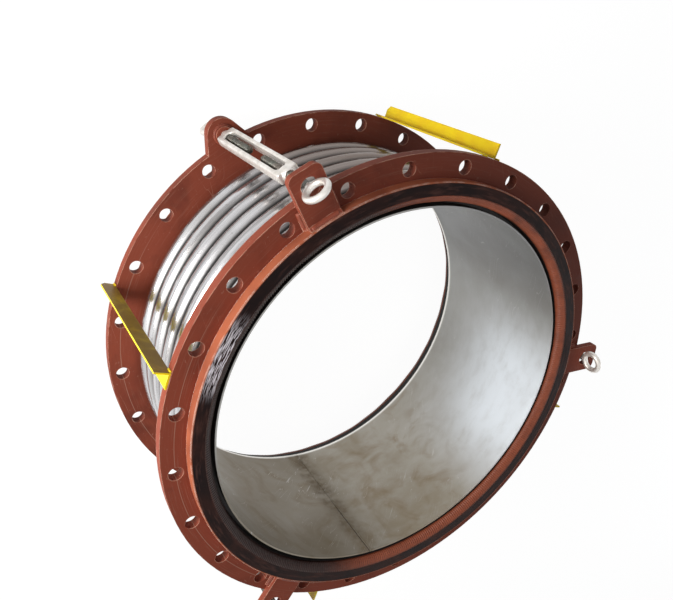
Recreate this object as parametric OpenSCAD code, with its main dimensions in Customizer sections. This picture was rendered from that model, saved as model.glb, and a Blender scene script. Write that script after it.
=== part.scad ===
// Metal bellows expansion joint, plate-flanged, with three turnbuckle limit rods
// and four welded shipping bars. Axis along Z, front end up, rear flange face at z = 0.

/* [Flanges] */
// Outside diameter of both flange plates
flange_od = 1075; // [1000:1:1150]
// Thickness of the flange plates
flange_t = 22; // [18:1:26]
// Distance between the two outer plate faces
length = 418; // [390:1:440]
// Distance from the rim to the bolt circle
bolt_edge = 27.5; // [24:0.5:32]
// Distance from the bolt circle to the collar's wall
bolt_clear = 23; // [20:0.5:28]
// Bolts in each circle
bolt_n = 24; // [16:4:28]
// Bolt hole diameter
bolt_d = 30; // [22:1:33]

/* [Collar rings] */
// Width of the collar from its wall to the bellows neck
collar_w = 42.7; // [36:0.1:50]
// Height of the collar above its plate
collar_h = 25; // [18:1:30]
// Width of the weld bevel at the collar's inner edge
bevel_w = 15; // [10:1:18]
// Height of the square land under the bevel
bevel_land = 7.5; // [6.5:0.5:10]
// How far the weld bead bulges past a straight bevel
bead_bulge = 4; // [2:0.5:5]

/* [Bellows] */
// Wall of the bellows
bellows_wall = 2; // [1.5:0.1:2.5]
// Height of the crests over the neck
crest_h = 30; // [27:0.5:34]
// Number of convolutions
conv_n = 7; // [6:1:8]
// Outside radius of the root between two crests
root_r = 5.5; // [4:0.5:7]
// Straight neck between a plate and the first root
neck_run = 8.5; // [5:0.5:12]
// How far the neck passes the outer plate face
neck_out = 5.6; // [3:0.1:6.4]

/* [Liner] */
// Gap around the liner inside the neck
liner_gap = 8.5; // [5:0.5:12]
// Wall of the liner
liner_wall = 3.5; // [2.5:0.1:4.5]
// How far the liner stands past the front plate face
liner_out = 8; // [4:1:12]
// Distance from the rear plate face to the liner's free end
liner_tail = 18; // [12:1:24]
// Depth of the liner's mounting ring behind the front plate face
liner_ring_depth = 16; // [14:1:18]
// Width of the liner's mounting ring along the axis
liner_ring_w = 12; // [8:1:14]

/* [Rod lugs] */
// Distance from the rim to the rod axes
rod_out = 22.5; // [20:0.5:30]
// Play of a rod in its front lug, across the hole
lug_play = 21; // [16:1:24]
// Metal beside the hole of a front lug
lug_side = 16.5; // [12:0.5:22]
// Thickness of a front lug plate
lug_t = 15; // [12:1:20]
// Front lug's reach past the rod axis
lug_reach = 35; // [30:1:40]
// Corner radius of a front lug
lug_corner = 15; // [8:1:20]
// Metal around the bush of a rear ear
ear_wall = 17; // [13:1:21]
// How much wider an ear is at the rim than at its round end, each side
ear_flare = 17; // [8:1:24]
// Leg of the weld fillets around a front lug
fillet = 7; // [4:1:9]
// Distance from the rim to the end of a lug's side fillets
fillet_back = 14; // [8:1:20]

/* [Rod bushes] */
// Wall of the rod bushes in the rear ears
bush_wall = 10; // [7:0.5:12]
// Play of a rod in its bush, across the bore
bush_play = 2; // [1:0.5:4]
// How far a bush stands out behind the rear plate
bush_out = 24; // [16:1:30]
// How far a bush stands in towards the bellows
bush_in = 9; // [6:1:12]
// Leg of the weld fillets around a bush, on both sides of its ear
bush_fillet = 4.5; // [3:0.5:5.5]

/* [Limit rods] */
// Thread diameter of the eye bolts
rod_d = 16; // [14:1:18]
// Bore of the eye ring
eye_bore = 31; // [28:0.5:34]
// Wire diameter of the eye ring
eye_wire = 13.5; // [12:0.5:14.5]
// Length from eye centre to thread end
eye_len = 221; // [205:1:230]
// Turn of the front eyes about the rod axis, in degrees
front_eye_turn = 12; // [-40:1:40]
// Turn of the rear eyes about the rod axis, in degrees
rear_eye_turn = 0; // [-40:1:40]
// Distance from a bush to the turnbuckle body
body_clear = 5; // [3:1:12]
// Distance from the front plate's outer face to the turnbuckle body
body_drop = 62; // [50:1:70]
// Clear space beside the rod in the body's slot
slot_play = 4; // [3:0.5:6]
// Thickness of each side bar, beside the slot
side_bar = 11; // [9:0.5:14]
// Depth of the side bars
body_t = 23; // [18:1:25]
// Wall of the threaded end bosses
boss_wall = 5; // [5:0.5:8]
// Length of the threaded end bosses
boss_len = 25; // [20:1:32]
// Plain end of a boss beyond the body's shoulder
boss_tip = 7; // [5:1:12]
// Cut at the corners of the body's shoulders
body_cut = 4; // [2:0.5:6]
// Turn of the bodies about the rod axis, in degrees
body_turn = 5; // [-40:1:40]

/* [Shipping bars] */
// Leg width of the angle section
bar_leg = 32; // [25:1:40]
// Leg thickness of the angle section
bar_t = 4; // [3:0.5:6]
// How much shorter the bars are than the joint
bar_short = 8; // [0:1:12]
// Offset of the upright leg from the bar's centre line
bar_off = 15; // [8:1:20]
// Cut at the upright leg's rear corner
bar_cut = 10; // [4:1:16]

/* [Hidden] */
$fn = 96;
// Gap of a seat, and play around a screw thread
gap = 0.3;
run = 0.05;
// Chamfer of turned edges, and of the rods' thread ends
chamfer = 1.5;
boss_chamfer = 2;
// Length of a lug that is cut away for the collar
lug_root = 20;
// How deep an ear's outline reaches into its plate
ear_root = 4;
flange_r = flange_od / 2;
bolt_r = flange_r - bolt_edge;
collar_r = bolt_r - bolt_clear;
seat_r = collar_r - collar_w;
neck_or = seat_r - gap;
neck_r = neck_or - bellows_wall;
liner_or = neck_r - liner_gap;
liner_r = liner_or - liner_wall;
rod_r = flange_r + rod_out;
mid = length / 2;
lug_n = 3;
bar_n = 4;
// The bolt holes straddle the axes, and the first lug lies on +Y between two holes.
hole_step = 360 / bolt_n;
first_hole = 90 + hole_step / 2;
lug_angles = [for (i = [0 : lug_n - 1]) 90 + i * 360 / lug_n];
bar_angles = [for (i = [0 : bar_n - 1]) 45 + i * 360 / bar_n];
// The bars were welded on by eye, so each starts at its own height.
bar_starts = [-7, 6, 2, -2];
bar_len = length - bar_short;
// Folds: the crests take what the necks and the roots leave of the length.
conv_pitch = (length - 2 * flange_t - 2 * neck_run) / conv_n;
crest_r = conv_pitch / 2 - root_r;
crest_or = neck_or + crest_h;
// Lugs and ears take their widths from the holes in them.
lug_hole_d = rod_d + lug_play;
lug_w = lug_hole_d + 2 * lug_side;
bush_bore = rod_d + bush_play;
bush_od = bush_bore + 2 * bush_wall;
ear_r = bush_od / 2 + ear_wall;
ear_base = ear_r + ear_flare;
// Eyes are seated on the edges of the front lugs' holes and of the bushes' bores.
eye_d = eye_bore + eye_wire;
eye_or = eye_bore / 2 + eye_wire;
seat_h = sqrt(pow(eye_or, 2) - pow(lug_hole_d / 2, 2)) + gap;
front_eye_z = length + lug_t + seat_h;
bush_seat_h = sqrt(pow(eye_or, 2) - pow(bush_bore / 2, 2)) + gap;
rear_eye_z = -bush_out - bush_seat_h;
// A turnbuckle body reaches from its bush to below the front plate.
body_start = flange_t + bush_in + body_clear;
body_len = length - body_drop - body_start;
body_z = body_start + body_len / 2;
slot_w = rod_d + 2 * slot_play;
body_w = slot_w + 2 * side_bar;
boss_d = rod_d + 2 * boss_wall;

primer = [0.47, 0.20, 0.14];
stainless = [0.78, 0.79, 0.80];
sleeve = [0.68, 0.66, 0.64];
zinc = [0.84, 0.84, 0.80];
yellow = [0.98, 0.83, 0.05];

// Puts a child drawn around the +Y lug or bar line at the given angle.
module at_angle(a) {
  rotate([0, 0, a - 90]) children();
}

// Arc as a list of [r, z] points around a centre, from angle a to angle b.
function arc(cr, cz, rad, a, b, n) =
  [for (i = [0 : n]) let (t = a + (b - a) * i / n) [cr + rad * sin(t), cz + rad * cos(t)]];

// Bolt circle as drill cylinders.
module bolt_holes() {
  for (i = [0 : bolt_n - 1])
    rotate([0, 0, first_hole + i * hole_step])
      translate([bolt_r, 0, -1])
        cylinder(d = bolt_d, h = flange_t + 2);
}

module flange_disc() {
  difference() {
    cylinder(r = flange_r, h = flange_t, $fn = 180);
    translate([0, 0, -1]) cylinder(r = seat_r, h = flange_t + 2, $fn = 180);
    bolt_holes();
  }
}

// Ear outline: a round end about the rod hole, with sides that flare out to the rim.
module ear_outline() {
  base_y = sqrt(pow(flange_r, 2) - pow(ear_base, 2)) - ear_root;
  d = sqrt(pow(ear_base, 2) + pow(rod_r - base_y, 2));
  t = atan2(base_y - rod_r, ear_base) + acos(ear_r / d);
  tx = ear_r * cos(t);
  ty = rod_r + ear_r * sin(t);
  translate([0, rod_r]) circle(r = ear_r);
  polygon([[-ear_base, base_y], [ear_base, base_y], [tx, ty], [-tx, ty]]);
}

module front_flange() {
  color(primer) translate([0, 0, length - flange_t]) flange_disc();
}

module rear_flange() {
  color(primer) difference() {
    union() {
      cylinder(r = flange_r, h = flange_t, $fn = 180);
      for (a = lug_angles) at_angle(a) linear_extrude(flange_t) ear_outline();
    }
    translate([0, 0, -1]) cylinder(r = seat_r, h = flange_t + 2, $fn = 180);
    bolt_holes();
    for (a = lug_angles)
      at_angle(a) translate([0, rod_r, -1]) cylinder(d = bush_od + 2 * gap, h = flange_t + 2);
  }
}

// Raised ring on a plate face, with a weld bevel at its inner edge. Drawn with its foot at z = 0.
module collar_ring() {
  rotate_extrude($fn = 180)
    polygon([
      [seat_r, 0], [collar_r, 0], [collar_r, collar_h - chamfer],
      [collar_r - chamfer, collar_h], [seat_r + bevel_w, collar_h], [seat_r, bevel_land]
    ]);
}

// Weld bead that joins the bellows neck to the collar. Drawn with the plate face at z = 0.
module bead_ring() {
  r0 = neck_r;
  z0 = neck_out + gap;
  r1 = seat_r + bevel_w - gap;
  z1 = collar_h;
  dr = r1 - r0;
  dz = z1 - z0;
  l = sqrt(dr * dr + dz * dz);
  crown = [for (i = [0 : 8]) let (s = i / 8, b = bead_bulge * sin(180 * s))
    [r0 + dr * s - b * dz / l, z0 + dz * s + b * dr / l]];
  rotate_extrude($fn = 180)
    polygon(concat(crown, [[neck_or, bevel_land], [neck_or, z0]]));
}

module front_collar() {
  color(primer) translate([0, 0, length]) collar_ring();
}

module rear_collar() {
  color(primer) mirror([0, 0, 1]) collar_ring();
}

module front_weld_bead() {
  color(primer) translate([0, 0, length]) bead_ring();
}

module rear_weld_bead() {
  color(primer) mirror([0, 0, 1]) bead_ring();
}

// One side of the bellows wall as [r, z] points: inset 0 is the outside, the wall is the inside.
function bellows_side(inset) = let (
  crest_c = crest_or - crest_r,
  root_c = neck_or + root_r,
  z0 = mid - (conv_n - 1) / 2 * conv_pitch
) concat(
  [[neck_or - inset, -neck_out]],
  arc(root_c, z0 - conv_pitch / 2, root_r + inset, -90, 0, 3),
  [for (i = [0 : conv_n - 1]) each concat(
    arc(crest_c, z0 + i * conv_pitch, crest_r - inset, 180, 0, 12),
    i < conv_n - 1
      ? arc(root_c, z0 + (i + 0.5) * conv_pitch, root_r + inset, -180, 0, 6)
      : arc(root_c, z0 + (i + 0.5) * conv_pitch, root_r + inset, -180, -90, 3)
  )],
  [[neck_or - inset, length + neck_out]]
);

function reversed(v) = [for (i = [len(v) - 1 : -1 : 0]) v[i]];

module bellows() {
  color(stainless) rotate_extrude($fn = 180)
    polygon(concat(bellows_side(0), reversed(bellows_side(bellows_wall))));
}

module liner() {
  z0 = liner_tail;
  z1 = length + liner_out;
  color(sleeve) translate([0, 0, z0]) difference() {
    cylinder(r = liner_or, h = z1 - z0, $fn = 180);
    translate([0, 0, -1]) cylinder(r = liner_r, h = z1 - z0 + 2, $fn = 180);
  }
}

// Ring that centres and holds the liner in the bellows neck.
module liner_ring() {
  color(stainless)
    translate([0, 0, length - liner_ring_depth - liner_ring_w])
      difference() {
        cylinder(r = neck_r - gap, h = liner_ring_w, $fn = 180);
        translate([0, 0, -1])
          cylinder(r = liner_or + gap, h = liner_ring_w + 2, $fn = 180);
      }
}

// Lug outline with two rounded outer corners, drawn from the collar outwards along +Y.
module lug_outline() {
  top = rod_r + lug_reach;
  foot = collar_r - lug_root;
  translate([-lug_w / 2, foot]) square([lug_w, top - lug_corner - foot]);
  translate([-lug_w / 2 + lug_corner, foot]) square([lug_w - 2 * lug_corner, top - foot]);
  for (s = [-1, 1])
    translate([s * (lug_w / 2 - lug_corner), top - lug_corner]) circle(r = lug_corner);
}

// Plate lug on the front flange, with weld fillets along its sides and at the collar.
module front_lug(i) {
  rim_y = flange_r - fillet_back;
  color(primer) at_angle(lug_angles[i]) translate([0, 0, length]) difference() {
    union() {
      linear_extrude(lug_t) lug_outline();
      intersection() {
        rotate_extrude($fn = 180)
          polygon([
            [collar_r + gap, lug_t - 1], [collar_r + gap + fillet, lug_t - 1],
            [collar_r + gap + fillet, lug_t], [collar_r + gap + 1, lug_t + fillet],
            [collar_r + gap, lug_t + fillet]
          ]);
        translate([-lug_w / 2, 0, 0]) cube([lug_w, flange_r, lug_t + fillet]);
      }
      for (s = [0, 1]) mirror([s, 0, 0])
        translate([lug_w / 2, rim_y, 0]) rotate([90, 0, 0])
          linear_extrude(rim_y - collar_r + lug_root)
            polygon([[-1, 0], [fillet, 0], [1, fillet], [-1, fillet]]);
    }
    translate([0, 0, -1]) cylinder(r = collar_r + gap, h = lug_t + fillet + 2, $fn = 180);
    translate([0, rod_r, -1]) cylinder(d = lug_hole_d, h = lug_t + 2);
  }
}

module front_lug_1() { front_lug(0); }
module front_lug_2() { front_lug(1); }
module front_lug_3() { front_lug(2); }

// Bush welded into a rear ear: the rod runs through it and the rear eye seats on its end.
module rear_bush(i) {
  color(primer) at_angle(lug_angles[i]) translate([0, rod_r, -bush_out])
    difference() {
      union() {
        cylinder(d1 = bush_od - 2 * chamfer, d2 = bush_od, h = chamfer);
        translate([0, 0, chamfer])
          cylinder(d = bush_od, h = bush_out + flange_t + bush_in - chamfer);
        translate([0, 0, bush_out - bush_fillet])
          cylinder(d1 = bush_od, d2 = bush_od + 2 * bush_fillet, h = bush_fillet);
        translate([0, 0, bush_out + flange_t])
          cylinder(d1 = bush_od + 2 * bush_fillet, d2 = bush_od, h = bush_fillet);
      }
      translate([0, 0, -1]) cylinder(d = bush_bore, h = bush_out + flange_t + bush_in + 2);
    }
}

module rear_bush_1() { rear_bush(0); }
module rear_bush_2() { rear_bush(1); }
module rear_bush_3() { rear_bush(2); }

// Side view of a turnbuckle body, in the plane of its two side bars, centred on z = 0.
module body_outline() {
  h = body_len / 2;
  end = h - boss_tip;
  side = body_w / 2;
  difference() {
    polygon([
      [body_cut - side, -end], [side - body_cut, -end], [side, body_cut - end],
      [side, end - body_cut], [side - body_cut, end], [body_cut - side, end],
      [-side, end - body_cut], [-side, body_cut - end]
    ]);
    square([slot_w, 2 * (h - boss_len - slot_w / 2)], center = true);
    for (s = [-1, 1])
      translate([0, s * (h - boss_len - slot_w / 2)]) circle(d = slot_w);
  }
}

// Open turnbuckle body: two side bars with round outsides, square shoulders and bored bosses.
module turnbuckle_body(i) {
  h = body_len / 2;
  color(zinc) at_angle(lug_angles[i]) translate([0, rod_r, body_z]) rotate([0, 0, body_turn])
    difference() {
      union() {
        intersection() {
          rotate([90, 0, 0])
            translate([0, 0, -body_t / 2]) linear_extrude(body_t) body_outline();
          translate([0, 0, -h]) cylinder(d = body_w + 0.6, h = 2 * h);
        }
        for (s = [0, 1]) mirror([0, 0, s]) {
          translate([0, 0, h - boss_len]) cylinder(d = boss_d, h = boss_len - boss_chamfer);
          translate([0, 0, h - boss_chamfer])
            cylinder(d1 = boss_d, d2 = boss_d - 2 * boss_chamfer, h = boss_chamfer, $fn = 64);
        }
      }
      translate([0, 0, -h - 1]) cylinder(d = rod_d + 2 * run, h = 2 * h + 2);
    }
}

module turnbuckle_body_1() { turnbuckle_body(0); }
module turnbuckle_body_2() { turnbuckle_body(1); }
module turnbuckle_body_3() { turnbuckle_body(2); }

// Eye bolt with its eye centre at the origin and its rod running down to -eye_len.
module eye_bolt(turn) {
  rotate([0, 0, turn]) rotate([90, 0, 0])
    rotate_extrude() translate([eye_d / 2, 0]) circle(d = eye_wire, $fn = 48);
  translate([0, 0, -eye_or]) cylinder(d1 = rod_d, d2 = eye_wire - 1, h = eye_wire / 2);
  translate([0, 0, -eye_len + chamfer]) cylinder(d = rod_d, h = eye_len - eye_or - chamfer);
  translate([0, 0, -eye_len]) cylinder(d1 = rod_d - 2 * chamfer, d2 = rod_d, h = chamfer);
}

module front_eye_bolt(i) {
  color(zinc) at_angle(lug_angles[i]) translate([0, rod_r, front_eye_z])
    eye_bolt(front_eye_turn);
}

module rear_eye_bolt(i) {
  color(zinc) at_angle(lug_angles[i]) translate([0, rod_r, rear_eye_z])
    mirror([0, 0, 1]) eye_bolt(rear_eye_turn);
}

module front_eye_bolt_1() { front_eye_bolt(0); }
module front_eye_bolt_2() { front_eye_bolt(1); }
module front_eye_bolt_3() { front_eye_bolt(2); }
module rear_eye_bolt_1() { rear_eye_bolt(0); }
module rear_eye_bolt_2() { rear_eye_bolt(1); }
module rear_eye_bolt_3() { rear_eye_bolt(2); }

// Angle bar across both rims: one leg lies on them, the other stands up along its right side.
module shipping_bar(i) {
  color(yellow) at_angle(bar_angles[i]) translate([0, flange_r + gap, bar_starts[i]])
    difference() {
      linear_extrude(bar_len) union() {
        translate([bar_off - bar_leg, 0]) square([bar_leg, bar_t]);
        translate([bar_off - bar_t, 0]) square([bar_t, bar_leg]);
      }
      translate([bar_off - bar_t - 1, bar_leg, 0]) rotate([0, 90, 0])
        linear_extrude(bar_t + 2)
          polygon([[1, -bar_cut], [1, 1], [-bar_cut, 1], [-bar_cut, 0], [0, -bar_cut]]);
    }
}

module shipping_bar_1() { shipping_bar(0); }
module shipping_bar_2() { shipping_bar(1); }
module shipping_bar_3() { shipping_bar(2); }
module shipping_bar_4() { shipping_bar(3); }

rear_flange();
front_flange();
rear_collar();
front_collar();
rear_weld_bead();
front_weld_bead();
bellows();
liner();
liner_ring();
front_lug_1();
front_lug_2();
front_lug_3();
rear_bush_1();
rear_bush_2();
rear_bush_3();
turnbuckle_body_1();
turnbuckle_body_2();
turnbuckle_body_3();
front_eye_bolt_1();
front_eye_bolt_2();
front_eye_bolt_3();
rear_eye_bolt_1();
rear_eye_bolt_2();
rear_eye_bolt_3();
shipping_bar_1();
shipping_bar_2();
shipping_bar_3();
shipping_bar_4();
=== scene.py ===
# %% [markdown]
# # A steel expansion joint for a large pipe
#
# The object is a pipe joint a little over a metre across. Two red-brown flange plates hold a
# thin corrugated stainless bellows between them, a smooth liner runs through the middle, three
# turnbuckle rods limit its stretch and four yellow angle bars lock it for shipping. Its hard
# shapes come in ready-made, so this lesson is about the camera, the light, the finishes and the
# small things that only show close up: weld ripples, screw threads and forged edges.

import math

import bpy
from mathutils import Matrix, Vector


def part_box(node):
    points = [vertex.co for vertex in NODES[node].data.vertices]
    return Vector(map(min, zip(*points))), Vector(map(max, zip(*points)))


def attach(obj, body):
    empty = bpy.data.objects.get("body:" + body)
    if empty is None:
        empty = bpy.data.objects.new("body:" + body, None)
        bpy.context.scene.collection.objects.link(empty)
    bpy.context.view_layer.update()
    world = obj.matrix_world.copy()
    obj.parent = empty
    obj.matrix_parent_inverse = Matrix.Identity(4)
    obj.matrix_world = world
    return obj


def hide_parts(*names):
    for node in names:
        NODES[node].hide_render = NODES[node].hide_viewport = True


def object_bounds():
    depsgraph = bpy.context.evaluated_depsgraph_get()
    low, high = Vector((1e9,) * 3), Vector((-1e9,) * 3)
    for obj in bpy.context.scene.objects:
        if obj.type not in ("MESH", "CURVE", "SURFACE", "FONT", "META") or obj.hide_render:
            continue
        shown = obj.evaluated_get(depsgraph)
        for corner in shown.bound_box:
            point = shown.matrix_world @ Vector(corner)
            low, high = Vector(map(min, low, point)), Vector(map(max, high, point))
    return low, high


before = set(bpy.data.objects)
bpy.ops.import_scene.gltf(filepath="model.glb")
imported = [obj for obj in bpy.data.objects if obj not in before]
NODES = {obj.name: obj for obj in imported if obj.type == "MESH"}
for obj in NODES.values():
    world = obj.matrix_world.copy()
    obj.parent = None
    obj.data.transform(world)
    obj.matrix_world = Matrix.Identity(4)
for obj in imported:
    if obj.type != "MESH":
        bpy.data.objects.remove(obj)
cad_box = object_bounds()
print("parts loaded:", len(NODES))
print("box of the hard parts:", cad_box)

# %% [markdown]
# ## Sizes
#
# Everything added later has to sit on these parts, so its sizes are read from them. A few that
# no box can tell, such as a wall or a wire, are written down here once.

# %% Sizes
MM = 0.001
PLATE_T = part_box("rear_flange")[1].z
PLATE_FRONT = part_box("front_flange")[1].z
FLANGE_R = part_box("front_flange")[1].x
COLLAR_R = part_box("front_collar")[1].x
CREST_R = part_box("bellows")[1].x
LINER_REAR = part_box("liner")[0].z
LINER_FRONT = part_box("liner")[1].z
LINER_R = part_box("liner")[1].x - 3.5 * MM
NECK_OUT_R = COLLAR_R - 43.0 * MM
NECK_IN_R = NECK_OUT_R - 2.0 * MM
BEVEL_TOP_R = COLLAR_R - 28.0 * MM
LUG_W = 70.0 * MM
LUG_T = 15.0 * MM
BOLT_CIRCLE_R = 510.0 * MM
ROD_CIRCLE_R = 560.0 * MM
THREE = (1, 2, 3)
FOUR = (1, 2, 3, 4)
LUG_DEG = (90.0, 210.0, 330.0)
BAR_DEG = (45.0, 135.0, 225.0, 315.0)
SEAM_DEG = 237.0
print("flange radius", round(FLANGE_R, 4), "liner bore radius", round(LINER_R, 4))

# %% [markdown]
# ## The camera
#
# The photo looks down across the joint from close by, so the near rim looms and the far one
# shrinks. Two circles of bolt holes fix such a view well: the camera's place, turn and lens
# below were found by laying both bolt circles over the photo until every hole matched.

# %% Camera
CAMERA_PLACE = (-0.33357, 1.12278, 1.47421)
CAMERA_RIGHT = Vector((0.80221, -0.34604, 0.48660))
CAMERA_UP = Vector((0.55678, 0.72783, -0.40040))
LENS_MM = 37.94
SENSOR_MM = 36.0


def add_object(name, data):
    added = bpy.data.objects.new(name, data)
    bpy.context.scene.collection.objects.link(added)
    return added


camera_data = bpy.data.cameras.new("photo_camera")
camera_data.sensor_fit = "HORIZONTAL"
camera_data.sensor_width = SENSOR_MM
camera_data.lens = LENS_MM
camera = add_object("photo_camera", camera_data)
camera_back = CAMERA_RIGHT.cross(CAMERA_UP)
camera_turn = Matrix((CAMERA_RIGHT, CAMERA_UP, camera_back)).transposed().to_4x4()
camera.matrix_world = Matrix.Translation(CAMERA_PLACE) @ camera_turn
bpy.context.scene.camera = camera
bpy.context.scene.view_settings.view_transform = "Standard"
print("camera stands at", [round(v, 3) for v in camera.location])

# %% [markdown]
# ## A bench for node trees
#
# A material, the sky and a node group are all trees of nodes. Each node has to be made, set and
# linked, which takes several lines. The class below holds one tree and does it in one call.

# %% Bench


class Bench:
    """One node tree. What its calls are given are sockets, numbers, or tuples for colours."""

    def __init__(self, tree):
        tree.nodes.clear()
        self.nodes, self.links = tree.nodes, tree.links

    def node(self, kind, **settings):
        node = self.nodes.new("ShaderNode" + kind)
        for label, value in settings.items():
            setattr(node, label, value)
        return node

    def put(self, value, socket):
        """Links a socket to this one, or sets this one to a constant."""
        if isinstance(value, bpy.types.NodeSocket):
            self.links.new(value, socket)
        else:
            socket.default_value = (*value, 1.0) if socket.type == "RGBA" else value

    def fill(self, node, inputs, output=0):
        """Fills a node's inputs from {name or number: value} and returns one of its outputs."""
        for label, value in inputs.items():
            self.put(value, node.inputs[label])
        return node.outputs[output]

    def maths(self, operation, a, b=0.0, clamp=False):
        node = self.node("Math", operation=operation, use_clamp=clamp)
        return self.fill(node, {0: a, 1: b})

    def times(self, a, b):
        return self.maths("MULTIPLY", a, b)

    def vector(self, operation, a, b=(0.0, 0.0, 0.0), output="Vector"):
        node = self.node("VectorMath", operation=operation)
        return self.fill(node, {0: a, 1: b}, output)

    def join_xyz(self, x=0.0, y=0.0, z=0.0):
        return self.fill(self.node("CombineXYZ"), {"X": x, "Y": y, "Z": z})

    def ramp(self, value, low, high, start=0.0, end=1.0, kind="SMOOTHSTEP"):
        """Start below low, end above high, and a ramp between."""
        inputs = {"Value": value, "From Min": low, "From Max": high, "To Min": start, "To Max": end}
        return self.fill(self.node("MapRange", interpolation_type=kind), inputs)

    def step(self, value, low, high):
        """0 before low, 1 past high, and soft between. High may be the smaller of the two."""
        if high < low:
            return self.ramp(value, high, low, 1.0, 0.0)
        return self.ramp(value, low, high)

    def noise(self, at=None, **inputs):
        """Noise from 0 to 1, at the object's own coordinates unless another point is given."""
        place = self.node("TexCoord").outputs["Object"] if at is None else at
        return self.fill(self.node("TexNoise"), {"Vector": place, **inputs}, "Fac")

    def place(self, group, **inputs):
        """Puts a node group in the tree and returns its outputs by name."""
        node = self.node("Group", node_tree=group)
        self.fill(node, inputs)
        return node.outputs

    def use(self, group, **inputs):
        """Puts a node group in the tree and returns its first output."""
        return self.place(group, **inputs)[0]


print("bench ready")

# %% [markdown]
# ## Floor, sky and lamps
#
# A pale floor that is almost white to the camera, and to metal that mirrors it, still takes the
# object's shadow. The real joint stood near a wide opening: daylight skims in low from one side,
# is strong on the near rims and fades across the plate. So one big lamp stands close to that
# side, where distance alone makes it fade, and two weak ones keep the other side readable.

# %% Floor
FLOOR_Z = cad_box[0][2] - 0.5 * MM
FLOOR_HALF = 14.0
WHITE = (1.0, 1.0, 1.0)
PAPER = (0.85, 0.85, 0.85)
FLOOR_GLOW = 1.12
GLOW_SHARE = 0.85


def seen_directly(t):
    """1 for camera, mirror and glass rays, so only those see the bright background."""
    rays = t.node("LightPath").outputs
    first = t.maths("MAXIMUM", rays["Is Camera Ray"], rays["Is Glossy Ray"])
    return t.maths("MAXIMUM", first, rays["Is Transmission Ray"])


def mix_shaders(t, amount, first, second, output_kind):
    """Two shaders, each a node kind and its inputs, mixed by a mask and put on the output."""
    sides = [t.fill(t.node(kind), inputs) for kind, inputs in (first, second)]
    mixed = t.fill(t.node("MixShader"), {0: amount, 1: sides[0], 2: sides[1]})
    t.put(mixed, t.node(output_kind).inputs["Surface"])


material = bpy.data.materials.new("pale_floor")
material.use_nodes = True
t = Bench(material.node_tree)
paper = ("BsdfDiffuse", {"Color": PAPER})
glow = ("Emission", {"Color": WHITE, "Strength": FLOOR_GLOW})
mix_shaders(t, t.times(seen_directly(t), GLOW_SHARE), paper, glow, "OutputMaterial")
mesh = bpy.data.meshes.new("floor")
corners = [(x * FLOOR_HALF, y * FLOOR_HALF, FLOOR_Z) for x, y in ((-1, -1), (1, -1), (1, 1), (-1, 1))]
mesh.from_pydata(corners, [], [(0, 1, 2, 3)])
mesh.materials.append(material)
floor = add_object("floor", mesh)
print("floor at z =", round(FLOOR_Z, 4))

# %% Sky
SKY_TINT = (0.94, 0.97, 1.0)
SKY_LEVEL = 0.16

world = bpy.data.worlds.new("studio")
world.use_nodes = True
t = Bench(world.node_tree)
ambient = ("Background", {"Color": SKY_TINT, "Strength": SKY_LEVEL})
bright = ("Background", {"Color": WHITE, "Strength": 1.0})
mix_shaders(t, seen_directly(t), ambient, bright, "OutputWorld")
bpy.context.scene.world = world
print("sky made")

# %% Lamps
MIDDLE = Vector((0.0, 0.0, 0.25))
LAMPS = (
    ("daylight", (-1.58, 1.34, 0.84), 1.3, 48.0, (1.0, 0.98, 0.95)),
    ("overhead", (0.2, 0.9, 3.4), 2.4, 9.0, WHITE),
    ("far_side", (2.4, -2.2, 0.5), 2.0, 12.0, (0.93, 0.96, 1.0)),
)

for name, place, width, watts, colour in LAMPS:
    data = bpy.data.lights.new(name, "AREA")
    data.shape = "DISK"
    data.size = width
    data.energy = watts
    data.color = colour
    lamp = add_object(name, data)
    lamp.location = place
    lamp.rotation_euler = (MIDDLE - Vector(place)).to_track_quat("-Z", "Y").to_euler()
    lamp.visible_camera = False
print("lamps:", len(LAMPS))

# %% [markdown]
# ## Shared effects as node groups
#
# Every finish here has something in common with another: paint and zinc both wear at their
# edges, the liner and the bellows are both rolled sheet, and every coat is cleaner on one side
# of the pipe than on the other. Each such effect is one shader node group with named inputs, so
# every material can place it with its own values. The groups give only masks, colours and
# heights; the shader itself stays in the material.

# %% A helper for node groups
FLOAT = "NodeSocketFloat"
VECTOR = "NodeSocketVector"


def new_group(name, outputs, **inputs):
    """A node group with outputs {name: socket type} and float inputs name=default."""
    group = bpy.data.node_groups.new(name, "ShaderNodeTree")
    for label, value in inputs.items():
        socket = group.interface.new_socket(name=label, in_out="INPUT", socket_type=FLOAT)
        socket.default_value = value
    for label, kind in outputs.items():
        group.interface.new_socket(name=label, in_out="OUTPUT", socket_type=kind)
    t = Bench(group)
    given = group.nodes.new("NodeGroupInput").outputs
    results = group.nodes.new("NodeGroupOutput").inputs
    return group, t, given, results


print("group helper ready")

# %% [markdown]
# ### Coordinates that follow the pipe
#
# Turning, rolling and wiping all leave marks that run around the pipe or along it. The group
# below turns a point into a direction from the axis, a radius and a height. Marks are then made
# by stretching noise along one of them, which needs no seam anywhere.

# %% Group: Pipe Coordinates
FLATTEN = (1, 1, 0)


def pipe_coordinates():
    outputs = {"Direction": VECTOR, "Radius": FLOAT, "Height": FLOAT}
    group, t, _, results = new_group("Pipe Coordinates", outputs)
    place = t.node("TexCoord").outputs["Object"]
    flat = t.vector("MULTIPLY", place, FLATTEN)
    t.put(t.vector("NORMALIZE", flat), results["Direction"])
    t.put(t.vector("LENGTH", flat, output="Value"), results["Radius"])
    t.put(t.fill(t.node("SeparateXYZ"), {0: place}, "Z"), results["Height"])
    return group


PIPE = pipe_coordinates()
print("group made:", PIPE.name)

# %% Group: Pipe Marks


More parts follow.
